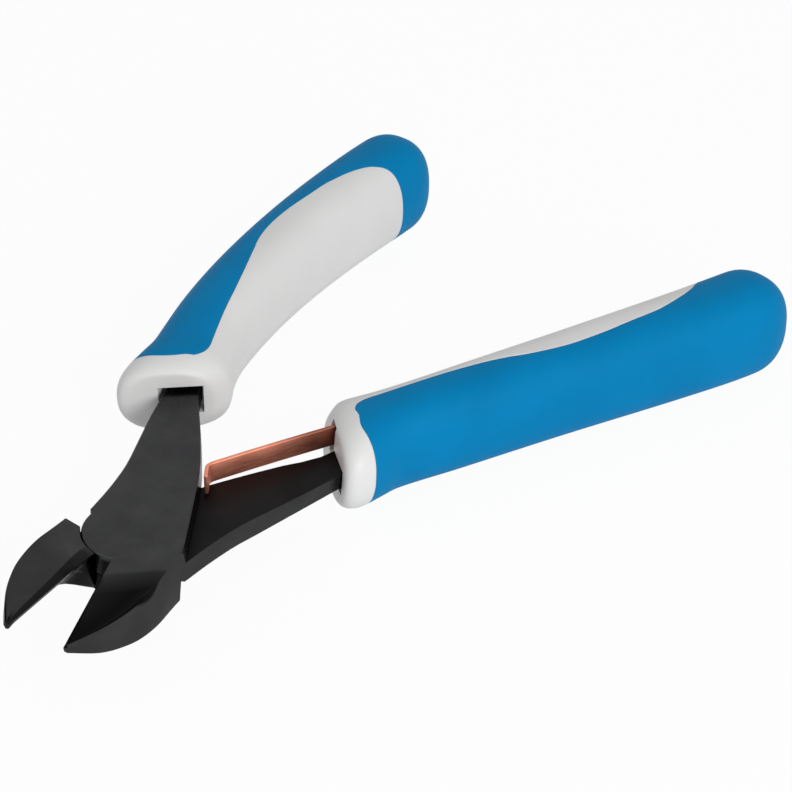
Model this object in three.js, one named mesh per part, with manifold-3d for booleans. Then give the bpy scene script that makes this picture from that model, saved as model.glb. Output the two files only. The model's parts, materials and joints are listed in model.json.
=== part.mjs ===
import * as THREE from "three";
import { mergeVertices } from "three/addons/utils/BufferGeometryUtils.js";
import Module from "manifold-3d";

// Side cutters with a lap joint, a leaf return spring and two-shot grips, in millimetres.
// The pivot is the Z axis and the jaws point along +X. The group is lifted by one layer, so that Z = 0
// is the flat back of the joint. Shapes below are drawn about the lap plane between the two halves.

// Lap joint
const LAYER = 4.6;
const LAP_GAP = 0.1;
const BOSS_R = 9.5;
const BOSS_CLEAR = 0.12;
const OPEN_DEG = 11;
const NICK_DEG = 94;
const SHOULDER_DEG = 66;
const DRAFT = 0.12;
const EDGE_BREAK = 0.3;

// Rivet, blind from the back and headed flush there
const RIVET_R = 4;
const RIVET_TOP = 3;
const RIVET_HEAD_R = 5.2;
const RIVET_HEAD_DEPTH = 1.2;
const RIVET_CLEAR = 0.08;
const ROUND_SEGMENTS = 64;

// Jaws, in the closed position: along x from the pivot, out from the cutting edge in y
const JAW_BACK = 4;
const JAW_STEP = 6;
const JAW_ROOT = 9;
const JAW_TIP = 31.1;
const DISH_START = 11;
const EDGE_GAP = 0.1;
const EDGE_LAND = 0.8;
const LAND_DROP = 0.55;
const UNDER_DROP = 1.0;
const TIP_RIDGE_Z = 0.8;
const SIDE_BULGE = 0.45;
const JAW_OUTER = [[4, 11.8], [8.7, 11.2], [14.4, 10.6], [20.3, 9.2], [24, 7.3], [26.8, 5.3], [29.3, 2.9], [31.1, 0.9]];
const JAW_CREST = [[4, 4.6], [13, 4.6], [16, 4.4], [20.3, 3.7], [26.6, 2.5], [31.1, 1.2]];
const JAW_FOOT = [[4, 4.6], [14, 4.6], [17, 4.4], [20.3, 4], [26.6, 2.8], [31.1, 0.7]];
const DISH_DEPTH = [[7, 0], [9.3, 0], [12, 0.45], [15, 0.95], [20, 1.15], [26, 0.8], [31.1, 0.1]];
const DISH_SLANT = 4.4;
const UNDER_FLAT = [[9, 0.1], [12.4, 0.62], [20, 0.66], [31.1, 0.8]];

// Arm edges of a half whose arm lies on the +Y side, from the joint to the grip's mouth
const ARM_OUTER = [[-1.2, 10.4], [-8.6, 11.3], [-16.1, 12.8], [-24.3, 15.5], [-32.4, 18.2], [-41.5, 20.9]];
const ARM_INNER = [[2.6, -12], [-0.9, -10.7], [-11.7, -5.4], [-21.6, -0.3], [-28.2, 3.9], [-35.4, 8.9], [-44, 15]];
const REAR_RISE = 1;
const RISE_FROM = 14;
const RISE_TO = 40;
const TANG_HALF = 3.2;
const TANG_FROM = 0.16;
const TANG_TO = 0.62;

// Grip spines in plan, both given on the +Y side; the front one is turned over to the -Y side
const FRONT_SPINE = [[-40.5, 19.5], [-74.8, 30.6], [-107.1, 29.9], [-143.5, 24.7]];
const REAR_SPINE = [[-45.1, 15.2], [-94.7, 41.1], [-124.8, 61.7], [-138.1, 64.9]];
const GRIP_Z = 2.1;
const GRIP_HALF_WIDTH = [
  [0, 10.8], [0.035, 10.6], [0.062, 9.5], [0.1, 8.2], [0.15, 7.9], [0.24, 8], [0.48, 8.4], [0.73, 8.9], [0.91, 9.1], [1, 8],
];
const GRIP_INNER_WIDTH = [
  [0, 11.4], [0.04, 11.2], [0.08, 10.5], [0.12, 9.6], [0.17, 8.8], [0.24, 8.2], [0.48, 8.4], [0.73, 8.9], [0.91, 9.1], [1, 8],
];
const GRIP_HALF_HEIGHT = [[0, 9], [0.1, 9.2], [0.24, 9.9], [0.48, 10.2], [0.73, 10.7], [0.91, 11], [1, 11]];
const GRIP_SQUARENESS = 2.4;
const COLLAR_FACE = 0.7;
const COLLAR_LEAN = 0.33;
const COLLAR_TILT = 0.1;
const COLLAR_LEAN_RUN = 8.5;
const COLLAR_ROUND = 3.2;
const COLLAR_ROUND_INNER = 10;
const END_ROUND = 9.7;
const MOUTH_GAP = 1.5;
const MOUTH_RISE = 1.3;
const MOUTH_DEPTH = 4;

// Soft cover over the hard core: its edge as a half angle around the section, along the grip
const COVER_THICK = 2;
const COVER_GAP = 0.3;
const COVER_FRONT = 0.0315;
const COVER_SLANT = -0.01;
const COVER_TILT = 0.09;
const COVER_CUFF = 0.842;
const COVER_EDGE_DEG = [
  [0.015, 62], [0.033, 82], [0.041, 94], [0.052, 102], [0.065, 108], [0.08, 112], [0.1, 114], [0.17, 113], [0.26, 108],
  [0.34, 100], [0.42, 90], [0.5, 83], [0.57, 83], [0.65, 87], [0.72, 90], [0.77, 96], [0.81, 105], [0.828, 115],
  [0.84, 130], [0.85, 155],
];
const COVER_ROLL_DEG = [[0, 5.5], [0.2, 5.5], [0.4, 2], [0.55, 0]];

// Leaf spring: an upright strip beside the rear arm, its free end folded along the front arm
const LEAF_THICK = 0.8;
const LEAF_LOW = 0.25;
const LEAF_ROOT = [-49.6, 15.9];
const LEAF_MOUTH = [-45.4, 13.3];
const LEAF_BOW = [-34.8, 6.6];
const LEAF_BEND = [-24, 0.4];
const LEAF_LIP = [-20.6, 2.3];
const LEAF_SLOT_HALF = 2.6;
const FIT_GAP = 0.3;
const RING_POINTS = 24;
const EDGE_POINTS = 12;
const STATION_STEP = 7;

const wasm = await Module();
wasm.setup();

const rad = THREE.MathUtils.degToRad;
const v2 = ([x, y]) => new THREE.Vector2(x, y);

// A smooth curve through (position, value) knots.
function profile(knots) {
  const slope = knots.map((k, i) => {
    const a = knots[Math.max(i - 1, 0)];
    const b = knots[Math.min(i + 1, knots.length - 1)];
    return (b[1] - a[1]) / (b[0] - a[0]);
  });
  return (x) => {
    if (x <= knots[0][0]) return knots[0][1];
    const i = knots.findIndex((k) => k[0] >= x);
    if (i < 0) return knots[knots.length - 1][1];
    const h = knots[i][0] - knots[i - 1][0];
    const t = (x - knots[i - 1][0]) / h;
    const rise = (2 * t ** 3 - 3 * t ** 2 + 1) * knots[i - 1][1] + (3 * t ** 2 - 2 * t ** 3) * knots[i][1];
    return rise + h * ((t ** 3 - 2 * t ** 2 + t) * slope[i - 1] + (t ** 3 - t ** 2) * slope[i]);
  };
}

function solidOf(geometry) {
  const g = geometry.clone();
  g.deleteAttribute("normal");
  g.deleteAttribute("uv");
  const merged = mergeVertices(g, 1e-4);
  const triVerts = new Uint32Array(merged.index.array);
  const made = (tris) => {
    const mesh = new wasm.Mesh({ numProp: 3, vertProperties: merged.attributes.position.array, triVerts: tris });
    return new wasm.Manifold(mesh);
  };
  const solid = made(triVerts);
  if (solid.volume() > 0) return solid;
  for (let i = 0; i < triVerts.length; i += 3) {
    [triVerts[i + 1], triVerts[i + 2]] = [triVerts[i + 2], triVerts[i + 1]];
  }
  return made(triVerts);
}

// A closed solid through stations of one point count; each has a flat outline and a way to place it.
function loft(stations) {
  const n = stations[0].outline.length;
  const position = [];
  const index = [];
  stations.forEach((s) => s.outline.forEach((p) => position.push(...s.place(p).toArray())));
  for (let i = 0; i + 1 < stations.length; i++) {
    for (let j = 0; j < n; j++) {
      const k = (j + 1) % n;
      const [a, b, c, d] = [i * n + j, i * n + k, (i + 1) * n + k, (i + 1) * n + j];
      index.push(a, b, c, a, c, d);
    }
  }
  const cap = (s, base, turned) =>
    THREE.ShapeUtils.triangulateShape(s.outline, []).forEach(([a, b, c]) => {
      const flip = THREE.ShapeUtils.isClockWise(s.outline) !== turned;
      index.push(base + a, base + (flip ? b : c), base + (flip ? c : b));
    });
  cap(stations[0], 0, false);
  cap(stations[stations.length - 1], (stations.length - 1) * n, true);
  const g = new THREE.BufferGeometry();
  g.setAttribute("position", new THREE.Float32BufferAttribute(position, 3));
  g.setIndex(index);
  return solidOf(g);
}

function cylinder(r, z0, z1, rTop = r) {
  const g = new THREE.CylinderGeometry(rTop, r, z1 - z0, ROUND_SEGMENTS);
  return solidOf(g.rotateX(Math.PI / 2).translate(0, 0, (z0 + z1) / 2));
}

// A closed outline moved outwards by d, for an anticlockwise outline.
function offset(outline, d) {
  return outline.map((p, i) => {
    const a = outline[(i + outline.length - 1) % outline.length];
    const b = outline[(i + 1) % outline.length];
    const n1 = new THREE.Vector2(p.y - a.y, a.x - p.x).normalize();
    const n2 = new THREE.Vector2(b.y - p.y, p.x - b.x).normalize();
    const n = n1.clone().add(n2).normalize();
    return p.clone().addScaledVector(n, d / Math.max(n.dot(n1), 0.6));
  });
}

function spineOf(points) {
  const curve = new THREE.CubicBezierCurve(...points.map(v2));
  curve.arcLengthDivisions = 400;
  const length = curve.getLength();
  return {
    length,
    at(u) {
      const t = curve.getTangentAt(u);
      return { p: curve.getPointAt(u), out: new THREE.Vector2(t.y, -t.x) };
    },
  };
}

// The flat outline of one half's layer: boss, arm and tang, anticlockwise, for an arm on the +Y side.
function layerOutline(spine) {
  const side = (edge, sign) => {
    const tang = [];
    for (let u = TANG_FROM; u < TANG_TO + 0.001; u += (TANG_TO - TANG_FROM) / 4) {
      const { p, out } = spine.at(u);
      tang.push(p.addScaledVector(out, sign * TANG_HALF));
    }
    return new THREE.SplineCurve([...edge.map(v2), ...tang]).getPoints(30);
  };
  const boss = [];
  for (let a = -SHOULDER_DEG; a <= NICK_DEG; a += 4) {
    boss.push(new THREE.Vector2(BOSS_R * Math.cos(rad(a)), BOSS_R * Math.sin(rad(a))));
  }
  const ring = [...side(ARM_INNER, -1).reverse(), ...boss, ...side(ARM_OUTER, 1)];
  return THREE.ShapeUtils.isClockWise(ring) ? ring.reverse() : ring;
}

// The layer as a solid under the lap plane, its outer face rising towards the grip by the given amount.
function layer(spine, rise) {
  const outline = layerOutline(spine);
  const lift = (x) => rise * THREE.MathUtils.smoothstep(-x, RISE_FROM, RISE_TO);
  const at = (d, z, r) => ({
    outline: offset(outline, d),
    place: (p) => new THREE.Vector3(p.x, p.y, z + r * lift(p.x)),
  });
  return loft([
    at(-EDGE_BREAK, -LAYER, 1),
    at(0, EDGE_BREAK - LAYER, 1),
    at(DRAFT, -LAP_GAP, 0),
  ]);
}

// One jaw in the closed position, on the +Y side of the cutting edge.
const jawOuter = profile(JAW_OUTER);
const jawCrest = profile(JAW_CREST);
const jawFoot = profile(JAW_FOOT);
const dishDepth = profile(DISH_DEPTH);
const underFlat = profile(UNDER_FLAT);

function jawSection(x) {
  const k = THREE.MathUtils.smoothstep(x, JAW_ROOT, UNDER_FLAT[1][0]);
  const inner = Math.max(EDGE_GAP, Math.sqrt(Math.max(0, (BOSS_R - 0.6) ** 2 - x * x)));
  const outer = jawOuter(x);
  const crest = jawCrest(x);
  const foot = -jawFoot(x);
  const fall = (LAYER - TIP_RIDGE_Z) / (JAW_TIP - DISH_START - 1.5);
  const run = Math.max(0, x - DISH_START);
  const ridge = LAYER - fall * (run < 3 ? (run * run) / 6 : run - 1.5);
  const land = Math.min(EDGE_LAND, 0.3 * (outer - inner));
  const edge = ridge - LAND_DROP * k - 0.2 * (1 - k);
  const across = (t) => inner + land + (outer - inner - land) * t;
  const top = [0, 0.2, 0.4, 0.56, 0.7, 0.82, 0.92, 1].map((t) => {
    const skew = t ** 1.5;
    const dish = dishDepth(x - DISH_SLANT * (1 - t)) * 4 * skew * (1 - skew);
    const z = THREE.MathUtils.lerp(ridge, crest, t) - dish;
    return new THREE.Vector2(across(t), z);
  });
  const under = inner + (outer - inner) * underFlat(x);
  const low = THREE.MathUtils.lerp(0.4 + foot, edge - UNDER_DROP, k);
  return [
    new THREE.Vector2(inner, edge),
    ...top,
    new THREE.Vector2(outer + SIDE_BULGE, 0),
    new THREE.Vector2(outer, foot),
    new THREE.Vector2(under, foot),
    new THREE.Vector2(inner + 0.6 * land, Math.max(low, foot + 0.2)),
  ];
}

function jaw() {
  const stations = [0, 0.4, 0.7].map((k) => THREE.MathUtils.lerp(JAW_BACK, JAW_ROOT, k));
  for (let x = JAW_ROOT; x < JAW_TIP - 0.01; x += 0.94) stations.push(x);
  stations.push(JAW_TIP);
  return loft(stations.map((x) => ({ outline: jawSection(x), place: (p) => new THREE.Vector3(x, p.x, p.y) })));
}

// The part of a jaw's root that would stand in the other half's layer, on the given side of the lap plane.
function step(side) {
  const block = new THREE.BoxGeometry(2 * JAW_STEP, 4 * BOSS_R, 2 * LAYER);
  return solidOf(block.translate(0, 0, side * (LAYER - LAP_GAP)));
}

// Each half: its own layer, its jaw through both layers, and room for the other half's boss.
const pocket = cylinder(BOSS_R + DRAFT + BOSS_CLEAR, -2 * LAYER, LAP_GAP);
const frontSpine = spineOf(FRONT_SPINE);
const rearSpine = spineOf(REAR_SPINE);
const hole = cylinder(RIVET_R + RIVET_CLEAR, -2 * LAYER, RIVET_TOP + RIVET_CLEAR);
const frontJaw = jaw().subtract(step(-1)).rotate([0, 0, OPEN_DEG]);
const front = layer(frontSpine, 0).rotate([180, 0, 0]).add(frontJaw).subtract(pocket).subtract(hole);

const rearJaw = jaw().subtract(step(1)).mirror([0, 1, 0]).rotate([0, 0, -OPEN_DEG]);
const sink = cylinder(RIVET_HEAD_R + RIVET_CLEAR, -LAYER, RIVET_HEAD_DEPTH - LAYER, RIVET_R + RIVET_CLEAR);
const rear = layer(rearSpine, REAR_RISE).add(rearJaw).subtract(pocket.rotate([180, 0, 0])).subtract(hole).subtract(sink);

const rivet = cylinder(RIVET_R, -LAYER, RIVET_TOP).add(
  cylinder(RIVET_HEAD_R, -LAYER, RIVET_HEAD_DEPTH - LAYER, RIVET_R),
);

// Grips, drawn about a spine on the +Y side with the section's centre at height z.
const halfWidth = profile(GRIP_HALF_WIDTH);
const innerWidth = profile(GRIP_INNER_WIDTH);
const halfHeight = profile(GRIP_HALF_HEIGHT);
const coverEdge = profile(COVER_EDGE_DEG);
const coverRoll = profile(COVER_ROLL_DEG);

function grip(spine, z) {
  const length = spine.length;
  // A point of the section at angle a from the outer side, inset from the surface.
  const sectionPoint = (s, a, inset) => {
    const round = THREE.MathUtils.lerp(COLLAR_ROUND, COLLAR_ROUND_INNER, 0.5 - 0.5 * Math.cos(a));
    const nose = Math.min(s / round, 1);
    const tail = Math.max(0, 1 - (length - inset - s) / (END_ROUND - 0.5 * inset));
    const front = COLLAR_FACE + (1 - COLLAR_FACE) * Math.sqrt(Math.max(0, 1 - (1 - nose) ** 2));
    const full = front * Math.max(0, 1 - tail ** GRIP_SQUARENESS) ** (1 / GRIP_SQUARENESS);
    const bend = (c) => Math.sign(c) * Math.abs(c) ** (2 / GRIP_SQUARENESS);
    const width = Math.cos(a) > 0 ? halfWidth : innerWidth;
    const w = (width(s / length) - inset) * full;
    const h = (halfHeight(s / length) - inset) * full;
    return new THREE.Vector2(w * bend(Math.cos(a)), h * bend(Math.sin(a)));
  };
  const place = (s) => {
    const { p, out } = spine.at(Math.min(s / length, 1));
    const fade = 1 - THREE.MathUtils.smoothstep(s, 0, COLLAR_LEAN_RUN);
    return (q) => {
      const ahead = fade * (COLLAR_LEAN * q.x - COLLAR_TILT * q.y);
      return new THREE.Vector3(p.x + out.x * q.x + out.y * ahead, p.y + out.y * q.x - out.x * ahead, z + q.y);
    };
  };
  const arc = (s, from, to, count, inset) =>
    Array.from({ length: count }, (_, i) => sectionPoint(s, from + ((to - from) * i) / (count - 1), inset));
  const ring = (s, inset) => arc(s, 0, 2 * Math.PI * (1 - 1 / RING_POINTS), RING_POINTS, inset);
  const tailStations = (inset) => {
    const round = END_ROUND - 0.5 * inset;
    const last = length - inset;
    return [0, 18, 35, 50, 63, 74, 82, 87].map((a) => last - round * (1 - Math.sin(rad(a))));
  };
  const body = (from, inset) => {
    const rounds = from > 0 ? [] : [0, 0.03, 0.1, 0.2, 0.34, 0.46, 0.6, 0.8, 1].map((k) => k * COLLAR_ROUND_INNER);
    const tail = tailStations(inset);
    const start = from > 0 ? from : 1.3 * COLLAR_ROUND_INNER;
    const steps = Math.max(2, Math.round((tail[0] - start) / STATION_STEP));
    const straight = Array.from({ length: steps }, (_, i) => start + ((tail[0] - start) * i) / steps);
    return loft([...rounds, ...straight, ...tail].map((s) => ({ outline: ring(s, inset), place: place(s) })));
  };
  // The soft cover; grow gives the larger space that the hard core leaves for it.
  const cover = (grow) => {
    const skin = grow > 0 ? -2 : 0;
    const depth = COVER_THICK + grow;
    const knots = COVER_EDGE_DEG.map((k) => k[0] * length);
    const stations = [];
    for (let i = 0; i + 1 < knots.length; i++) {
      const steps = Math.ceil((knots[i + 1] - knots[i]) / STATION_STEP);
      for (let j = 0; j < steps; j++) stations.push(knots[i] + ((knots[i + 1] - knots[i]) * j) / steps);
    }
    stations.push(knots[knots.length - 1]);
    const strip = loft(
      stations.map((s) => {
        const half = rad(coverEdge(s / length)) + grow / 9;
        const roll = rad(coverRoll(s / length));
        const [low, high] = [-half - roll, half - roll];
        const outline = [...arc(s, low, high, EDGE_POINTS, skin), ...arc(s, high, low, EDGE_POINTS, depth)];
        return { outline, place: place(s) };
      }),
    );
    const cuff = body(COVER_CUFF * length - grow, skin).subtract(body(COVER_CUFF * length - 6, depth));
    const { p, out } = spine.at(COVER_FRONT);
    const n = new THREE.Vector2(-out.y, out.x).addScaledVector(out, -COVER_SLANT).normalize();
    return strip.add(cuff).trimByPlane([n.x, n.y, -COVER_TILT], n.dot(p) - COVER_TILT * z - grow);
  };
  return { body: body(0, 0), cover: cover(0), room: cover(COVER_GAP) };
}

// The space a tang takes in its grip; the front grip's mouth stands off the arm.
function tangRoom(spine) {
  const outline = offset(layerOutline(spine), DRAFT + FIT_GAP);
  const at = (z) => ({ outline, place: (p) => new THREE.Vector3(p.x, p.y, z) });
  return loft([at(-LAYER - FIT_GAP), at(FIT_GAP - LAP_GAP)]);
}

function mouthRoom(spine) {
  const outline = offset(layerOutline(spine), DRAFT + MOUTH_GAP);
  const at = (z) => ({ outline, place: (p) => new THREE.Vector3(p.x, p.y, z) });
  const { p, out } = spine.at(MOUTH_DEPTH / spine.length);
  const room = loft([at(-LAYER - MOUTH_RISE), at(MOUTH_GAP - LAP_GAP)]);
  return room.trimByPlane([out.y, -out.x, 0], p.x * out.y - p.y * out.x);
}

function strip(points, half, z0, z1) {
  const sides = points.map((p, i) => {
    const a = points[Math.max(i - 1, 0)];
    const b = points[Math.min(i + 1, points.length - 1)];
    const n = new THREE.Vector2(b.y - a.y, a.x - b.x).normalize();
    return [p.clone().addScaledVector(n, half), p.clone().addScaledVector(n, -half)];
  });
  const outline = [...sides.map((s) => s[0]), ...sides.map((s) => s[1]).reverse()];
  const at = (z) => ({ outline, place: (p) => new THREE.Vector3(p.x, p.y, z) });
  return loft([at(z0), at(z1)]);
}

const leafRun = new THREE.QuadraticBezierCurve(v2(LEAF_MOUTH), v2(LEAF_BOW), v2(LEAF_BEND)).getPoints(10);
const leafTurn = leafRun[9].clone().lerp(leafRun[10], 0.4);
const lipTurn = v2(LEAF_BEND).lerp(v2(LEAF_LIP), 0.25);
const fold = new THREE.QuadraticBezierCurve(leafTurn, v2(LEAF_BEND), lipTurn).getPoints(6);
const leafPath = [v2(LEAF_ROOT), ...leafRun.slice(0, 10), ...fold, v2(LEAF_LIP)];
const leaf = strip(leafPath, LEAF_THICK / 2, LEAF_LOW, LAYER);

const rootRun = v2(LEAF_ROOT).sub(v2(LEAF_MOUTH)).normalize();
const slotPath = [v2(LEAF_ROOT).addScaledVector(rootRun, 1), v2(LEAF_MOUTH).addScaledVector(rootRun, -8)];
const leafSlot = strip(slotPath, LEAF_SLOT_HALF, LEAF_LOW - 2 * FIT_GAP, LAYER + FIT_GAP);

const frontGrip = grip(frontSpine, -GRIP_Z);
const rearGrip = grip(rearSpine, -GRIP_Z);
const turned = (solid) => solid.rotate([180, 0, 0]);
const frontRoom = tangRoom(frontSpine).add(mouthRoom(frontSpine));
const frontCore = turned(frontGrip.body.subtract(frontGrip.room).subtract(frontRoom));
const rearCore = rearGrip.body.subtract(rearGrip.room).subtract(tangRoom(rearSpine)).subtract(leafSlot);

function node(name, solid, color, roughness, metalness) {
  const m = solid.getMesh();
  const g = new THREE.BufferGeometry();
  const p = new Float32Array(m.numVert * 3);
  for (let i = 0; i < m.numVert; i++) p.set(m.vertProperties.subarray(i * m.numProp, i * m.numProp + 3), i * 3);
  g.setAttribute("position", new THREE.BufferAttribute(p, 3));
  g.setIndex(new THREE.BufferAttribute(m.triVerts, 1));
  g.computeVertexNormals();
  const mesh = new THREE.Mesh(g, new THREE.MeshStandardMaterial({ color, roughness, metalness }));
  mesh.name = name;
  return mesh;
}

const cutters = new THREE.Group();
cutters.name = "side_cutters";
cutters.position.z = LAYER;
cutters.add(
  node("rear_half", rear, 0x2b2c2e, 0.5, 0.8),
  node("front_half", front, 0x303133, 0.5, 0.8),
  node("pivot_rivet", rivet, 0x3a3b3d, 0.45, 0.9),
  node("leaf_spring", leaf, 0x9a6252, 0.35, 0.9),
  node("rear_core", rearCore, 0xe4e4e2, 0.5, 0),
  node("rear_cover", rearGrip.cover, 0x0a7fbd, 0.6, 0),
  node("front_core", frontCore, 0xe4e4e2, 0.5, 0),
  node("front_cover", turned(frontGrip.cover), 0x0a7fbd, 0.6, 0),
);

export default cutters;
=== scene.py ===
import json
import math
from contextlib import contextmanager

import bpy
import numpy as np
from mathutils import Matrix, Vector

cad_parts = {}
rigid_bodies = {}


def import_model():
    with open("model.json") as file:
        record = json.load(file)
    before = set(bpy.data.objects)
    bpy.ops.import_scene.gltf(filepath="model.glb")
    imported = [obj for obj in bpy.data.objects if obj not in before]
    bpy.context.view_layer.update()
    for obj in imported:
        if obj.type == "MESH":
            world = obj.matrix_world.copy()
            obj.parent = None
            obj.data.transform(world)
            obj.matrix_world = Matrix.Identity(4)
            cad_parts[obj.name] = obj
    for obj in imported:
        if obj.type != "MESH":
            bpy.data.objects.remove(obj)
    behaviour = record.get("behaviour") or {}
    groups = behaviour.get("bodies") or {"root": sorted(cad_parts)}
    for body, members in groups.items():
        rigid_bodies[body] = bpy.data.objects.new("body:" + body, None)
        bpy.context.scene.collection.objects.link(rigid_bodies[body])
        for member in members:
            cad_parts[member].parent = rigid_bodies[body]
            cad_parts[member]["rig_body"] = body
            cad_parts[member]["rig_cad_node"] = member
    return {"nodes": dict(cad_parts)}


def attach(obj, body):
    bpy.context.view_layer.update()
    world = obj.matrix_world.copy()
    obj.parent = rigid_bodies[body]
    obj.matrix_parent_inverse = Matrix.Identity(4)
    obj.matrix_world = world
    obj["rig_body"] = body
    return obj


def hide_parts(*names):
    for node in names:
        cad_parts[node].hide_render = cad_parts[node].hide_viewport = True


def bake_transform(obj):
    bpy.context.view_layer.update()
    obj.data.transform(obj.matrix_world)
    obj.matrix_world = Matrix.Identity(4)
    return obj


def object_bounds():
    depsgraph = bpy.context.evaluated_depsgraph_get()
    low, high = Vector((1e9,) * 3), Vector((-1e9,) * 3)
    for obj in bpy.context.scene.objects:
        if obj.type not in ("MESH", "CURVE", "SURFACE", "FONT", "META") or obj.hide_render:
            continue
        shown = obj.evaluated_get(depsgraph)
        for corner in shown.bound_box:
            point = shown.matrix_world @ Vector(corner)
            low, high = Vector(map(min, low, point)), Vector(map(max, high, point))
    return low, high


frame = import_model()
cad_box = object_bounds()

# Shapes are in millimetres about the lap plane, as in the part's source, and become metres in a mesh.
MM = 0.001
LAYER = 4.6
LAP_GAP = 0.1
OPEN_DEG = 11

# Grips: a spine in plan for each, then half widths and heights by share of its length.
GRIP_Z = 2.1
FRONT_SPINE = [(-40.5, 19.5), (-74.8, 30.6), (-107.1, 29.9), (-143.5, 24.7)]
REAR_SPINE = [(-45.1, 15.2), (-94.7, 41.1), (-124.8, 61.7), (-138.1, 64.9)]
SPINE_POINTS = 2001
HALF_WIDTH = [
    (0, 10.8), (0.035, 10.6), (0.062, 9.5), (0.1, 8.2), (0.15, 7.9),
    (0.24, 8), (0.48, 8.4), (0.73, 8.9), (0.91, 9.1), (1, 8),
]
INNER_WIDTH = [
    (0, 11.4), (0.04, 11.2), (0.08, 10.5), (0.12, 9.6), (0.17, 8.8),
    (0.24, 8.2), (0.48, 8.4), (0.73, 8.9), (0.91, 9.1), (1, 8),
]
HALF_HEIGHT = [(0, 9), (0.1, 9.2), (0.24, 9.9), (0.48, 10.2), (0.73, 10.7), (0.91, 11), (1, 11)]
SQUARENESS = 2.4
COLLAR_FACE = 0.7
COLLAR_LEAN = 0.33
COLLAR_TILT = 0.1
COLLAR_LEAN_RUN = 8.5
COLLAR_ROUND = 3.2
COLLAR_ROUND_INNER = 10
END_ROUND = 9.7
INSET_FROM = 0.8

# The seam between hard core and soft cover: its front edge, its two sides and its back edge.
SEAM_CORNER = 5.0
SEAM_FRONT = [(0, 4.9), (40, 4.7), (60, 4.45), (75, 4.15), (84, 4.15), (90, 4.4), (96, 5)]
SEAM_TILT = 0.4
SEAM_ROLL = [(0, 5.5), (0.2, 5.5), (0.4, 2), (0.55, 0)]
SEAM_SIDE = [
    (0.0435, 96), (0.052, 103), (0.065, 108.5), (0.08, 112), (0.1, 114), (0.17, 113), (0.26, 108),
    (0.34, 100), (0.42, 90), (0.5, 83), (0.57, 83), (0.65, 87), (0.72, 90), (0.77, 96),
    (0.81, 106), (0.832, 118),
]
SEAM_BACK = [(118, 0), (126, 0.9), (138, 1.5), (160, 1.75), (180, 1.8)]
SEAM_RUN = np.array([0, 0.05, 0.13, 0.26, 0.45])
SEAM_DEG = 6.3
SEAM_SLIP = 0.04
FRONT_FADE = 5
BACK_FADE = 7
TILT_FADE = 6
COVER_LIP = 0.28
CORE_LIP = 0.14
COVER_THICK = 1.5
CORE_DROP = 1.65

# Rows along a grip and columns around half of it, and the room that rows leave beside the seam.
COLLAR_ROWS = 13
COLLAR_CROWDING = 1.5
PANEL_ROWS = 96
CUFF_ROWS = 10
END_ROWS = 18
END_TURN = 88.5
COVER_COLUMNS = 26
PANEL_COLUMNS = 22
SEAM_ROOM = 1
END_ROOM = 0.8
FAR = 9.0
GRIP_WELD = 2e-6
GRIP_SMOOTH_DEG = 38

# The mouths in the collars, for the arms and for the leaf.
ARM_OUTER = [(-24.3, 15.5), (-32.4, 18.2), (-41.5, 20.9)]
ARM_INNER = [(-28.2, 3.9), (-35.4, 8.9), (-44, 15)]
ARM_STEPS = 8
TANG_HALF = 3.2
TANG_FROM = 0.16
FIT_GAP = 0.3
MOUTH_GAP = 1.0
MOUTH_RISE = 1.1
MOUTH_REACH = 0.2
SLOT_HALF = 1.6
SLOT_AHEAD = 8
SLOT_DROP = 2.2
SLOT_RISE = 0.3

# The forgings' broken edges, and the shallow dip that is levelled where boss and jaw meet.
JOIN_DIP = 0.12
JOIN_END = 7
FORGED_WELD = 3e-6
FORGED_FLAT_DEG = 0.4
EDGE_BREAK = 0.16
EDGE_BREAK_DEG = 40
FORGED_SMOOTH_DEG = 30
FORGED_WEIGHT = 80

# The leaf spring's line in plan, from its root in the collar to the lip on the front arm.
LEAF_ROOT = (-49.6, 15.9)
LEAF_MOUTH = (-45.4, 13.3)
LEAF_BOW = (-34.8, 6.6)
LEAF_BEND = (-24, 0.4)
LEAF_LIP = (-20.6, 2.3)
LEAF_STEP = 1 / 60
FOLD_FROM = 0.94
FOLD_TO = 0.25
FOLD_POINTS = 14
ENDS_POINTS = 8
LEAF_THICK = 0.8
LEAF_LOW = 0.25
LEAF_ROUND = 0.24
LEAF_ROUND_DEG = 60
LEAF_SMOOTH_DEG = 40
# Where painted shadow darkens the leaf towards its root.
LEAF_ROOT_SHADOW = (-43, -34)
BLEND_Z = 2

# Where the steel's painted shade begins and ends, from one place to the next, along and across the closed
# jaw and in height.
JAW_HALF = 10.9
JAW_TURN = 11
JAW_FALL = 0.01
JAW_FALL_POWER = 2.3
ABOVE_LAP = (4.9, 5)
LAP_FACE_LOW = (4.35, 4.5)
LAP_FACE_HIGH = (4.7, 4.8)
DISH_SLANT = 0.458
DISH_START = (14, 14.8)
DISH_FULL = (14.8, 19)
DISH_CREST = (0, 0.08)
DISH_EASE = (4, 11)
BAND_TAPER = 0.09
BAND_EDGE = (3.3, 3.6)
BAND_START = (9, 11)
THROAT_START = (8.8, 9.4)
THROAT_END = (15, 18)
THROAT_EDGE = (1.5, 2.2)
THROAT_TOP = (8, 8.6)
WEB_EDGE = (5.5, 7)
WEB_TOP = (4.3, 4.6)
WEB_FOOT = (0.1, 0.4)

# The stage, in metres.
FLOOR_DROP = 0.0002
FLOOR_SIZE = 6
FLOOR_TONE = 0.9
FLOOR_GLOW = 0.95
AMBIENT = 0.47
LAMP_AIM = (-0.06, 0.01, 0.0)
CAMERA_AT = (0.36146, 0.27105, 0.34472)
CAMERA_AIM = (-0.06754, 0.01597, 0.0046)
CAMERA_LENS = 138.9
CAMERA_SENSOR = 36
CAMERA_NEAR = 0.01


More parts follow.
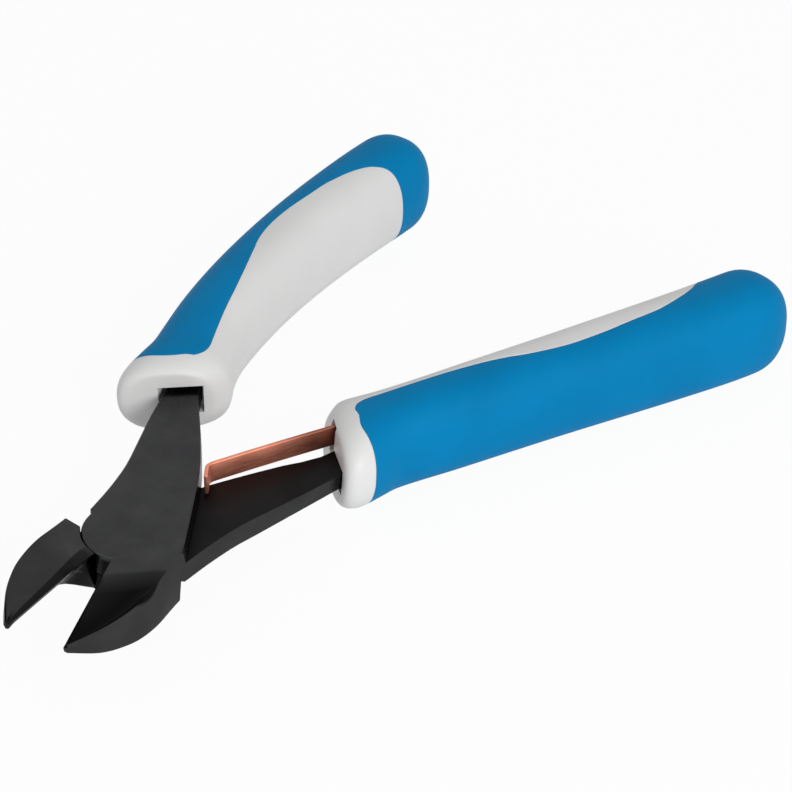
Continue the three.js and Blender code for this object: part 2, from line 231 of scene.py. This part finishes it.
def curve(knots):
    """A smooth curve through (position, value) knots."""
    x, y = np.array(knots, float).T
    i = np.arange(len(x))
    a, b = np.maximum(i - 1, 0), np.minimum(i + 1, len(x) - 1)
    m = (y[b] - y[a]) / (x[b] - x[a])

    def at(t):
        t = np.clip(np.asarray(t, float), x[0], x[-1])
        n = np.clip(np.searchsorted(x, t), 1, len(x) - 1)
        h = x[n] - x[n - 1]
        q = (t - x[n - 1]) / h
        rise = (2 * q**3 - 3 * q**2 + 1) * y[n - 1] + (3 * q**2 - 2 * q**3) * y[n]
        return rise + h * ((q**3 - 2 * q**2 + q) * m[n - 1] + (q**3 - q**2) * m[n])

    return at


def smooth(t):
    """An eased step from 0 to 1."""
    t = np.clip(t, 0, 1)
    return t * t * (3 - 2 * t)


def bow(a, b, c, t):
    """Points at t on the curve from a to c that is pulled towards b."""
    t = np.asarray(t)[..., None]
    return (1 - t) ** 2 * np.array(a) + 2 * (1 - t) * t * np.array(b) + t**2 * np.array(c)


def through(points, steps):
    """A smooth plan line through points."""
    p = np.array(points, float)
    p = np.concatenate([[2 * p[0] - p[1]], p, [2 * p[-1] - p[-2]]])
    t = np.linspace(0, 1, steps, endpoint=False)[:, None]
    out = []
    for a, b, c, d in zip(p, p[1:], p[2:], p[3:]):
        bend = (2 * a - 5 * b + 4 * c - d) * t**2 + (3 * b - a - 3 * c + d) * t**3
        out.append(0.5 * (2 * b + (c - a) * t + bend))
    return np.concatenate(out + [p[-2:-1]])


def side_of(line, distance):
    """A plan line moved to its right by a distance."""
    t = np.gradient(line, axis=0)
    t /= np.linalg.norm(t, axis=1, keepdims=True)
    return line + distance * np.stack([t[:, 1], -t[:, 0]], -1)


def to_row(p, flip):
    """Drawing points to the row frame, in metres; the front half's are turned over to the other side."""
    p = np.array(p, float)
    if flip:
        p = p * [1, -1, -1]
    return (p + [0, 0, LAYER]) * MM


def mesh_object(name, points, faces):
    """A new object from points and faces."""
    mesh = bpy.data.meshes.new(name)
    mesh.from_pydata(np.asarray(points).tolist(), [], faces)
    mesh.validate()
    made = bpy.data.objects.new(name, mesh)
    bpy.context.scene.collection.objects.link(made)
    return made


def only(obj):
    """Selects one object and nothing else."""
    bpy.ops.object.select_all(action="DESELECT")
    obj.select_set(True)
    bpy.context.view_layer.objects.active = obj


@contextmanager
def editing(obj):
    """Edit mode on one object, with all of it selected."""
    only(obj)
    bpy.ops.object.mode_set(mode="EDIT")
    bpy.ops.mesh.select_all(action="SELECT")
    yield
    bpy.ops.object.mode_set(mode="OBJECT")


def apply(obj, kind, **settings):
    """Adds a modifier and applies it."""
    only(obj)
    modifier = obj.modifiers.new(kind.lower(), kind)
    for key, value in settings.items():
        setattr(modifier, key, value)
    bpy.ops.object.modifier_apply(modifier=modifier.name)


def shade(obj, degrees):
    """Smooth shading, with edges over an angle left sharp."""
    only(obj)
    bpy.ops.object.shade_smooth_by_angle(angle=math.radians(degrees))


def outward():
    """Points all faces of the mesh in edit mode outwards."""
    bpy.ops.mesh.select_all(action="SELECT")
    bpy.ops.mesh.normals_make_consistent(inside=False)


def lip(depth, radius):
    """How far a rounded edge lies below the surface at a distance from the seam."""
    return radius - np.sqrt(np.maximum(0, radius**2 - np.maximum(0, radius - depth) ** 2))


def cells(kind):
    """The quads of a lattice, closed around, whose corners are all of one kind."""
    rows, columns = kind.shape
    found = []
    for r in range(rows - 1):
        for c in range(columns):
            beside = (c + 1) % columns
            corners = [(r, c), (r + 1, c), (r + 1, beside), (r, beside)]
            if all(kind[q] for q in corners):
                found.append([q[0] * columns + q[1] for q in corners])
    return found


def wall(quads, total, ring):
    """Quads that join the open edges of two skins, apart from the edges of a ring that gets a cap."""
    edges = {}
    for q in quads:
        for edge in zip(q, q[1:] + q[:1]):
            if edges.pop(edge[::-1], None) is None:
                edges[edge] = True
    return [[a, b, b + total, a + total] for a, b in edges if not (a in ring and b in ring)]


outer_width, inner_width, half_height = curve(HALF_WIDTH), curve(INNER_WIDTH), curve(HALF_HEIGHT)
seam_front, seam_side, seam_back = curve(SEAM_FRONT), curve(SEAM_SIDE), curve(SEAM_BACK)
seam_roll = curve(SEAM_ROLL)


# No operator lays a seam along a swept form, so the grips are meshed from their own surface.
class Grip:
    """A grip's surface, by distance s along its spine and angle a from its outer side.

    inset is how far a skin lies below that surface.
    """

    def __init__(self, spine, flip):
        a, b, c, d = np.array(spine, float)
        t = np.linspace(0, 1, SPINE_POINTS)[:, None]
        self.line = (1 - t) ** 3 * a + 3 * (1 - t) ** 2 * t * b + 3 * (1 - t) * t**2 * c + t**3 * d
        steps = np.linalg.norm(np.diff(self.line, axis=0), axis=1)
        self.run = np.concatenate([[0], np.cumsum(steps)])
        self.length = self.run[-1]
        along = np.gradient(self.line, axis=0)
        self.along = along / np.linalg.norm(along, axis=1, keepdims=True)
        self.flip = flip

    def spine(self, s):
        """The point and the direction at a distance along the spine."""
        p = np.stack([np.interp(s, self.run, self.line[:, k]) for k in range(2)], -1)
        t = np.stack([np.interp(s, self.run, self.along[:, k]) for k in range(2)], -1)
        return p, t

    def surface(self, s, a, inset):
        s, a, inset = np.broadcast_arrays(np.asarray(s, float), a, inset)
        s = s - inset * smooth((s / self.length - INSET_FROM) / (1 - INSET_FROM))
        nose_run = COLLAR_ROUND + (COLLAR_ROUND_INNER - COLLAR_ROUND) * (0.5 - 0.5 * np.cos(a))
        nose = np.minimum(s / nose_run, 1)
        tail = np.clip(1 - (self.length - inset - s) / (END_ROUND - 0.5 * inset), 0, 1)
        full = COLLAR_FACE + (1 - COLLAR_FACE) * np.sqrt(np.maximum(0, 1 - (1 - nose) ** 2))
        full = full * (1 - tail**SQUARENESS) ** (1 / SQUARENESS)
        u = s / self.length
        power = 2 / SQUARENESS
        width = np.where(np.cos(a) > 0, outer_width(u), inner_width(u))
        w = (width - inset) * full * np.sign(np.cos(a)) * np.abs(np.cos(a)) ** power
        h = (half_height(u) - inset) * full * np.sign(np.sin(a)) * np.abs(np.sin(a)) ** power
        p, t = self.spine(s)
        ahead = (1 - smooth(s / COLLAR_LEAN_RUN)) * (COLLAR_LEAN * w - COLLAR_TILT * h)
        x = p[..., 0] + t[..., 1] * w - t[..., 0] * ahead
        y = p[..., 1] - t[..., 0] * w - t[..., 1] * ahead
        return to_row(np.stack([x, y, h - GRIP_Z], -1), self.flip)

    def lattice(self):
        """Rows along and columns around, with the seam on row first, row last and column edge."""
        length, run = self.length, SEAM_RUN
        corner_a = SEAM_SIDE[0][1]
        last_s, last_a = SEAM_SIDE[-1][0] * length, SEAM_SIDE[-1][1]
        turn = np.radians(np.linspace(0, END_TURN, END_ROWS))
        tail = length - END_ROUND * (1 - np.sin(turn))
        panel = np.linspace(SEAM_CORNER + SEAM_ROOM, last_s - SEAM_ROOM, PANEL_ROWS)
        cuff = np.linspace(last_s + SEAM_ROOM, tail[0] - END_ROOM, CUFF_ROWS)
        rows = np.concatenate([SEAM_CORNER + run, panel, last_s - run[:0:-1], last_s + run, cuff, tail])
        collar = (np.arange(COLLAR_ROWS) / COLLAR_ROWS) ** COLLAR_CROWDING
        self.first = len(collar) + len(run) - 1
        self.last = self.first + len(run) + len(panel) + len(run) - 1
        self.edge = COVER_COLUMNS + len(run) - 1
        side = seam_side(np.minimum(rows, last_s) / length)
        deg = SEAM_DEG * run
        columns = []
        for at in np.concatenate([np.full(self.first, corner_a), side]):
            covered = np.arange(COVER_COLUMNS) / COVER_COLUMNS * (at - deg[-1])
            bare = at + deg[-1] + np.linspace(0, 1, PANEL_COLUMNS + 1)[1:] * (180 - at - deg[-1])
            columns.append(np.concatenate([covered, at - deg[::-1], at + deg[1:], bare]))
        columns = np.array(columns)
        front = np.where(columns[self.first] <= corner_a, seam_front(columns[self.first]), SEAM_CORNER)
        back = np.where(columns[self.last] >= last_a, seam_back(columns[self.last]), 0)
        start = [(front - run[-1]) * f for f in collar] + [front - d for d in run[:0:-1]]
        rest = []
        for s in rows:
            near_front = np.clip(1 - (s - SEAM_CORNER) / FRONT_FADE, 0, 1)
            near_back = smooth(1 - abs(s - last_s) / BACK_FADE)
            rest.append(s + (front - SEAM_CORNER) * near_front + back * near_back)
        along = np.array(start + rest)
        self.half = columns.shape[1] - 1
        around = np.radians(np.concatenate([columns, -columns[:, -2:0:-1]], axis=1))
        along = np.concatenate([along, along[:, -2:0:-1]], axis=1)
        behind = np.clip(1 - (along - SEAM_CORNER) / TILT_FADE, 0, 1)
        reach = np.where(along < SEAM_CORNER, along / SEAM_CORNER, behind)
        along = along + SEAM_TILT * reach * np.sin(around)
        return along, around - np.radians(seam_roll(along / length))

    def parts(self, name):
        """The hard core and the soft cover, as two closed meshes that share the seam."""
        s, a = self.lattice()
        rows, columns = s.shape
        first, last, edge = self.first, self.last, self.edge
        i, j = np.meshgrid(np.arange(rows), np.arange(columns), indexing="ij")
        j = np.minimum(j, columns - j)
        covered = ((i >= first) & (j <= edge)) | (i >= last)
        bare = (i <= first) | ((i <= last) & (j >= edge))

        # Distances from the seam's three runs, and from the nearest of them inside the cover and outside it.
        run = np.concatenate([SEAM_RUN, np.full(rows + columns, FAR)])
        by_front, by_side, by_back = run[np.abs(i - first)], run[np.abs(j - edge)], run[np.abs(i - last)]
        inside = np.where(i >= last, np.where(j >= edge, by_back, np.hypot(by_back, by_side)), by_side)
        inside = np.where((i < last) & (i >= first), np.minimum(inside, by_front), inside)
        outside = np.where(i <= first, np.where(j <= edge, by_front, np.hypot(by_front, by_side)), by_side)
        outside = np.where((i > first) & (i <= last), np.minimum(outside, by_back), outside)

        slip = np.where(covered & bare, SEAM_SLIP, 0)
        side = np.where(np.arange(columns) <= self.half, 1, -1)
        cover_s = s + np.where((i == first) | (i == last), slip, 0)
        cover_a = a - side * np.where(j == edge, np.radians(SEAM_DEG * slip), 0)
        outer = self.surface(cover_s, cover_a, lip(inside, COVER_LIP)).reshape(-1, 3)
        inner = self.surface(cover_s, cover_a, COVER_THICK).reshape(-1, 3)
        skin = self.surface(s, a, lip(outside, CORE_LIP)).reshape(-1, 3)
        sunk = self.surface(s, a, CORE_DROP).reshape(-1, 3)

        total = rows * columns
        first_ring, last_ring = list(range(columns)), list(range(total - columns, total))
        cover_cells = cells(covered)
        under = {tuple(q) for q in cover_cells}
        bare_cells = [q for q in cells(bare) if tuple(q) not in under]

        # Cover: outer and inner skins, a wall along the seam, and caps at the closed end.
        faces = [q[::-1] for q in cover_cells] + [[v + total for v in q] for q in cover_cells]
        faces += wall(cover_cells, total, set(last_ring))
        faces += [last_ring, [v + total for v in last_ring[::-1]]]
        cover = mesh_object(name + "_grip_cover", np.concatenate([outer, inner]), faces)

        # Core: the bare skin, the sunk bed under the cover, the wall between them, and the two ends.
        faces = [q[::-1] for q in bare_cells] + [[v + total for v in q[::-1]] for q in cover_cells]
        faces += wall(bare_cells, total, set(first_ring))
        faces += [first_ring, [v + total for v in last_ring]]
        core = mesh_object(name + "_grip_core", np.concatenate([skin, sunk]), faces)
        for made in (cover, core):
            with editing(made):
                bpy.ops.mesh.delete_loose()
                bpy.ops.mesh.select_all(action="SELECT")
                bpy.ops.mesh.remove_doubles(threshold=GRIP_WELD)
                outward()
        return core, cover


def prism(name, outline, z0, z1, flip):
    """A closed solid on a plan outline between two heights."""
    low = to_row([(x, y, z0) for x, y in outline], flip)
    high = to_row([(*outline[0], z1)], flip)
    bpy.ops.object.select_all(action="DESELECT")
    bpy.ops.mesh.primitive_circle_add(vertices=len(low), fill_type="NGON", calc_uvs=False)
    made = bpy.context.active_object
    made.name = name
    for vertex, place in zip(made.data.vertices, low):
        vertex.co = place
    rise = (0, 0, high[0][2] - low[0][2])
    with editing(made):
        bpy.ops.mesh.extrude_region_move(TRANSFORM_OT_translate={"value": rise})
        outward()
    return made


def mouth(grip, gap, rise, reach):
    """The room that an arm takes where it enters its grip, up to a share of the way to its tang."""
    edges = []
    for knots, sign in ((ARM_OUTER, 1), (ARM_INNER, -1)):
        p, t = grip.spine(TANG_FROM * grip.length)
        tang = p + sign * TANG_HALF * np.array([t[1], -t[0]])
        end = np.array(knots[-1]) + reach * (tang - np.array(knots[-1]))
        edges.append(side_of(through([*knots, end], ARM_STEPS), sign * gap))
    outline = [*edges[0], *edges[1][::-1]]
    return prism("mouth", outline, -LAYER - rise, gap - LAP_GAP, grip.flip)


def leaf_slot():
    """The slot in the rear grip's collar, for the root of the leaf."""
    root, lead = np.array(LEAF_ROOT), np.array(LEAF_MOUTH)
    ahead = (lead - root) / np.linalg.norm(lead - root)
    line = np.array([root - ahead, lead + SLOT_AHEAD * ahead])
    outline = [*side_of(line, SLOT_HALF), *side_of(line, -SLOT_HALF)[::-1]]
    return prism("slot", outline, LEAF_LOW - SLOT_DROP, LAYER + SLOT_RISE, False)


def cut(obj, *cutters):
    """Cuts solids out of an object and removes them."""
    for cutter in cutters:
        apply(obj, "BOOLEAN", object=cutter, operation="DIFFERENCE", solver="EXACT")
        bpy.data.objects.remove(cutter)


grips = {}
for body, spine, flip in (("front", FRONT_SPINE, True), ("rear", REAR_SPINE, False)):
    grip = Grip(spine, flip)
    core, cover = grip.parts(body)
    cut(core, mouth(grip, FIT_GAP, FIT_GAP, 1))
    if body == "front":
        cut(core, mouth(grip, MOUTH_GAP, MOUTH_RISE, MOUTH_REACH))
    else:
        cut(core, leaf_slot())
    shade(core, GRIP_SMOOTH_DEG)
    shade(cover, GRIP_SMOOTH_DEG)
    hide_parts(body + "_core")
    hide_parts(body + "_cover")
    grips[body] = (core, cover)


def forged(body, face):
    """A forged half, welded, its edges broken and its outer face level where boss and jaw meet."""
    node = body + "_half"
    made = frame["nodes"][node].copy()
    made.data = made.data.copy()
    made.name = body + "_forging"
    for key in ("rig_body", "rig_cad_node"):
        del made[key]
    made.parent = None
    bpy.context.scene.collection.objects.link(made)
    for vertex in made.data.vertices:
        if vertex.co.x < JOIN_END * MM and abs(vertex.co.z - face) < JOIN_DIP * MM:
            vertex.co.z = face
    with editing(made):
        bpy.ops.mesh.remove_doubles(threshold=FORGED_WELD)
        bpy.ops.mesh.dissolve_limited(angle_limit=math.radians(FORGED_FLAT_DEG))
        bpy.ops.mesh.normals_make_consistent(inside=False)
    broken = math.radians(EDGE_BREAK_DEG)
    apply(made, "BEVEL", width=EDGE_BREAK * MM, segments=2, limit_method="ANGLE", angle_limit=broken)
    shade(made, FORGED_SMOOTH_DEG)
    apply(made, "WEIGHTED_NORMAL", weight=FORGED_WEIGHT, keep_sharp=True)
    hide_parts(node)
    return made


halves = {"front": forged("front", 2 * LAYER * MM), "rear": forged("rear", 0)}


def leaf_line():
    """The leaf in plan: a straight root, a slight bow, a fold and the lip."""
    bend, tip = np.array(LEAF_BEND), np.array(LEAF_LIP)
    root = np.linspace(LEAF_ROOT, LEAF_MOUTH, ENDS_POINTS)[:-1]
    run = bow(LEAF_MOUTH, LEAF_BOW, bend, np.arange(0, FOLD_FROM - LEAF_STEP, LEAF_STEP))
    turn = bow(LEAF_MOUTH, LEAF_BOW, bend, FOLD_FROM)
    lip_from = bend + FOLD_TO * (tip - bend)
    fold = bow(turn, bend, lip_from, np.linspace(0, 1, FOLD_POINTS))
    return np.concatenate([root, run, fold, np.linspace(lip_from, tip, ENDS_POINTS)[1:]])


def leaf_strip():
    """A standing edge drawn along the leaf's line, then given its thickness and rounded edges."""
    tall, middle = LAYER - LEAF_LOW, (LEAF_LOW + LAYER) / 2
    line = to_row([(*p, middle) for p in leaf_line()], False)
    bpy.ops.object.select_all(action="DESELECT")
    bpy.ops.mesh.primitive_plane_add(size=tall * MM, calc_uvs=False, rotation=(math.pi / 2, 0, 0))
    made = bpy.context.active_object
    made.name = "leaf_strip"
    bpy.ops.object.transform_apply(location=True, rotation=True, scale=True)
    with editing(made):
        bpy.ops.mesh.bisect(plane_co=(0, 0, 0), plane_no=(1, 0, 0), clear_inner=True, clear_outer=True)
        bpy.ops.mesh.select_all(action="SELECT")
        bpy.ops.transform.translate(value=line[0])
        for step in np.diff(line, axis=0):
            bpy.ops.mesh.extrude_region_move(TRANSFORM_OT_translate={"value": step})
        outward()
    apply(made, "SOLIDIFY", thickness=LEAF_THICK * MM, offset=0, use_even_offset=True)
    rounded = math.radians(LEAF_ROUND_DEG)
    apply(made, "BEVEL", width=LEAF_ROUND * MM, segments=3, limit_method="ANGLE", angle_limit=rounded)
    shade(made, LEAF_SMOOTH_DEG)
    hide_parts("leaf_spring")
    return made


leaf = leaf_strip()


class Signal:
    """A shader socket that takes arithmetic."""

    def __init__(self, graph, socket):
        self.graph, self.socket = graph, socket

    def math(self, operation, a, b):
        return self.graph.node("ShaderNodeMath", {"operation": operation}, {0: a, 1: b})

    def __add__(self, other):
        return self.math("ADD", self, other)

    def __sub__(self, other):
        return self.math("SUBTRACT", self, other)

    def __rsub__(self, other):
        return self.math("SUBTRACT", other, self)

    def __mul__(self, other):
        return self.math("MULTIPLY", self, other)

    def __pow__(self, other):
        return self.math("POWER", self, other)

    __radd__, __rmul__ = __add__, __mul__

    def above(self, other):
        """The greater of the two."""
        return self.math("MAXIMUM", self, other)


class Graph:
    """The nodes of one material or of the world."""

    def __init__(self, owner):
        self.owner = owner
        owner.use_nodes = True
        self.tree = owner.node_tree

    def put(self, socket, value):
        if isinstance(value, Signal):
            self.tree.links.new(value.socket, socket)
        else:
            socket.default_value = value

    def node(self, kind, settings=None, sockets=None, out=0):
        """A node of a kind, with its settings, the values or links of its sockets, and one output."""
        made = self.tree.nodes.new(kind)
        for key, value in (settings or {}).items():
            setattr(made, key, value)
        for key, value in (sockets or {}).items():
            self.put(made.inputs[key], value)
        return Signal(self, made.outputs[out])

    def place(self):
        return self.node("ShaderNodeTexCoord", out="Object")

    def millimetres(self, vector, axis):
        return self.node("ShaderNodeSeparateXYZ", None, {"Vector": vector}, axis) * (1 / MM)

    def noise(self, scale, detail, stretch=(1, 1, 1)):
        stretched = self.node("ShaderNodeMapping", None, {"Vector": self.place(), "Scale": stretch})
        return self.node("ShaderNodeTexNoise", None, {"Vector": stretched, "Scale": scale, "Detail": detail})

    def span(self, value, low, high, start=0.3, end=0.7):
        """low to high as value goes from start to end."""
        sockets = {"Value": value, "From Min": start, "From Max": end, "To Min": low, "To Max": high}
        return self.node("ShaderNodeMapRange", None, sockets)

    def rise(self, value, between):
        return self.span(value, 0, 1, *between)

    def fall(self, value, between):
        return self.span(value, 1, 0, *between)

    def mix(self, factor, a, b):
        """Two colours mixed by a factor."""
        a, b = ((*c, 1) if isinstance(c, tuple) else c for c in (a, b))
        return self.node("ShaderNodeMix", {"data_type": "RGBA"}, {0: factor, 6: a, 7: b}, 2)

    def bump(self, height, depth, **under):
        sockets = {"Strength": 1, "Distance": depth, "Height": height, **under}
        return self.node("ShaderNodeBump", None, sockets)

    def finish(self, sockets):
        """Sets the principled shader and gives the material."""
        for key, value in sockets.items():
            self.put(self.tree.nodes["Principled BSDF"].inputs[key], value)
        return self.owner


def steel(name, side, dish_shade_strength, unshaded_share=1.0):
    """Blackened steel of the half whose jaw lies on one side, with painted shade in the jaw's hollow and
    between the jaws.

    The third argument is how dark the painted shade in the hollow is; the fourth is the share of tone kept
    on the overlap flat and along the cutting edge, which are painted darker too.
    """
    g = Graph(bpy.data.materials.new(name))
    cloud, grain, speck = g.noise(160, 3), g.noise(5200, 2), g.noise(900, 4)
    turned = {"Vector": g.place(), "Rotation": (0, 0, -side * math.radians(OPEN_DEG))}
    closed = g.node("ShaderNodeMapping", None, turned)
    along, across = g.millimetres(closed, "X"), g.millimetres(closed, "Y") * side
    height = g.millimetres(g.place(), "Z")

    inward = JAW_HALF - (along - JAW_TURN).above(0) ** JAW_FALL_POWER * JAW_FALL - across
    above = g.rise(height, ABOVE_LAP)
    start = along + across * DISH_SLANT
    # Painted shade: the jaw's hollow face is darkened where it would reflect the dark around it.
    dish_shade = g.span(inward, 1, 0.8, *DISH_EASE) * g.rise(inward, DISH_CREST) * above
    dish_shade = dish_shade * (g.rise(start, DISH_START) * 0.5 + g.rise(start, DISH_FULL) * 0.5)
    # Painted shade: a strip along the cutting edge is darkened, on the rear half only.
    edge_band_shade = g.fall(across + along * BAND_TAPER, BAND_EDGE) * above * g.rise(along, BAND_START)
    # Painted shadow: the gap between the jaws by the pivot, and the lower layer's faces there, where the
    # other half casts its shadow.
    web_shadow = g.fall(height, WEB_TOP) * g.rise(height, WEB_FOOT) * g.fall(across, WEB_EDGE)
    throat_shadow = web_shadow.above(g.fall(across, THROAT_EDGE) * g.fall(height, THROAT_TOP))
    throat_shadow = throat_shadow * g.rise(along, THROAT_START) * g.fall(along, THROAT_END)
    # Painted shade: the flat in the plane where the halves overlap is darkened on the rear half; it is also
    # made rougher.
    lap_face_shade = g.rise(height, LAP_FACE_LOW) * g.fall(height, LAP_FACE_HIGH) * (1 - unshaded_share)

    tone = g.mix(g.span(cloud, 0, 1), (0.039, 0.0395, 0.041), (0.051, 0.0515, 0.053))
    # The mixes below paint shade and shadow into the colour; they are not the steel's own tone.
    tone = g.mix(dish_shade * dish_shade_strength, tone, (0.003, 0.003, 0.0032))
    tone = g.mix(edge_band_shade * (1 - unshaded_share), tone, (0.003, 0.003, 0.0032))
    tone = g.mix(throat_shadow * 0.9, tone, (0.002, 0.002, 0.002))
    tone = g.mix(lap_face_shade, tone, (0.004, 0.004, 0.004))
    rough = g.span(speck, 0.22, 0.3) + g.span(grain, -0.02, 0.02) + lap_face_shade * 0.3
    normal = g.bump(grain, 0.000003, Normal=g.bump(speck, 0.000006))
    tint = (0.58, 0.58, 0.58, 1)
    look = {"Base Color": tone, "Metallic": 1.0, "Roughness": rough, "Specular Tint": tint, "Normal": normal}
    return g.finish(look)


def copper():
    """Copper-coloured strip with streaks along its length, with painted shadow towards its root."""
    g = Graph(bpy.data.materials.new("copper_strip"))
    streak, blot = g.noise(300, 3, (1, 1, 9)), g.noise(220, 3)
    tone = g.mix(g.span(blot, 0, 1), (0.64, 0.23, 0.155), (0.76, 0.3, 0.2))
    # Painted shadow: the strip darkens towards its root, where it goes into the collar.
    tone = g.mix(g.span(g.millimetres(g.place(), "X"), 0.75, 0, *LEAF_ROOT_SHADOW), tone, (0.14, 0.045, 0.025))
    rough, normal = g.span(streak, 0.42, 0.56), g.bump(streak, 0.00001)
    return g.finish({"Base Color": tone, "Metallic": 1.0, "Roughness": rough, "Normal": normal})


def white():
    """Hard white core, satin."""
    g = Graph(bpy.data.materials.new("white_core"))
    cloud, grain = g.noise(60, 2), g.noise(3800, 2)
    tone = g.mix(g.span(cloud, 0, 1), (0.74, 0.74, 0.735), (0.78, 0.78, 0.775))
    rough = g.span(grain, 0.42, 0.52)
    return g.finish({"Base Color": tone, "Roughness": rough, "Normal": g.bump(grain, 0.000012)})


def blue():
    """Soft blue cover, finely grained and matt."""
    g = Graph(bpy.data.materials.new("blue_cover"))
    cloud, grain = g.noise(70, 3), g.noise(4200, 3)
    tone = g.mix(g.span(cloud, 0, 1), (0.0, 0.2, 0.45), (0.0, 0.222, 0.495))
    rough, normal = g.span(grain, 0.5, 0.64), g.bump(grain, 0.00003)
    return g.finish({"Base Color": tone, "Roughness": rough, "Specular IOR Level": 0.06, "Normal": normal})


def dress(obj, material):
    """Gives an object one material."""
    obj.data.materials.clear()
    obj.data.materials.append(material)


white_look, blue_look = white(), blue()
steel_look = {"front": steel("front_steel", 1, 0.95), "rear": steel("rear_steel", -1, 0.25, 0.3)}
for core, cover in grips.values():
    dress(core, white_look)
    dress(cover, blue_look)
for body, half in halves.items():
    dress(half, steel_look[body])
dress(frame["nodes"]["pivot_rivet"], steel_look["front"])
dress(leaf, copper())

for body in ("front", "rear"):
    for piece in (*grips[body], halves[body]):
        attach(piece, body)
root_m, end_m = to_row([(*LEAF_MOUTH, BLEND_Z), (*LEAF_BEND, BLEND_Z)], False)
tuple(0.4 * root_m + 0.6 * end_m)
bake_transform(leaf)

# Stage: a white floor that keeps a soft shadow, a white surround, a broad key from the right front.
scene = bpy.context.scene
scene.view_settings.view_transform = "Standard"


def seen(g):
    """1 for what the camera sees directly, in gloss or through a clear surface."""
    rays = ("Is Camera Ray", "Is Glossy Ray", "Is Transmission Ray")
    direct, glossy, clear = (g.node("ShaderNodeLightPath", out=ray) for ray in rays)
    return direct.above(glossy).above(clear)


def surround():
    """A world that is white where it is seen and lights the rest less."""
    g = Graph(bpy.data.worlds.new("surround"))
    background = g.tree.nodes["Background"]
    g.put(background.inputs["Color"], (1, 1, 1, 1))
    g.put(background.inputs["Strength"], g.span(seen(g), AMBIENT, 1, 0, 1))
    return g.owner


def paper():
    """The floor's white, which glows where it is seen."""
    g = Graph(bpy.data.materials.new("paper"))
    tone = (FLOOR_TONE, FLOOR_TONE, FLOOR_TONE, 1)
    g.finish({"Base Color": tone, "Roughness": 0.9, "Specular IOR Level": 0})
    matt = Signal(g, g.tree.nodes["Principled BSDF"].outputs[0])
    glow = g.node("ShaderNodeEmission")
    sheet = g.node("ShaderNodeMixShader", None, {0: seen(g) * FLOOR_GLOW, 1: matt, 2: glow})
    g.put(g.tree.nodes["Material Output"].inputs["Surface"], sheet)
    return g.owner


def turn_to(obj, place, aim):
    """Puts a lamp or a camera at a place and points it at another."""
    obj.location = place
    obj.rotation_euler = (Vector(aim) - Vector(place)).to_track_quat("-Z", "Y").to_euler()


def lamp(name, place, size, power):
    """A round lamp that points at the cutters."""
    data = bpy.data.lights.new(name, "AREA")
    data.shape = "DISK"
    data.size = size
    data.energy = power
    made = bpy.data.objects.new(name, data)
    scene.collection.objects.link(made)
    turn_to(made, place, LAMP_AIM)


scene.world = surround()
bpy.ops.mesh.primitive_plane_add(size=FLOOR_SIZE, location=(0, 0, cad_box[0].z - FLOOR_DROP))
floor = bpy.context.active_object
floor.name = "floor"
dress(floor, paper())
lamp("key", (0.35, 0.75, 0.4), 0.5, 4.6)
lamp("fill", (0.6, -0.3, 0.6), 0.8, 0.5)

camera = bpy.data.objects.new("camera", bpy.data.cameras.new("camera"))
scene.collection.objects.link(camera)
scene.camera = camera
camera.data.lens = CAMERA_LENS
camera.data.sensor_width = CAMERA_SENSOR
camera.data.clip_start = CAMERA_NEAR
turn_to(camera, CAMERA_AT, CAMERA_AIM)
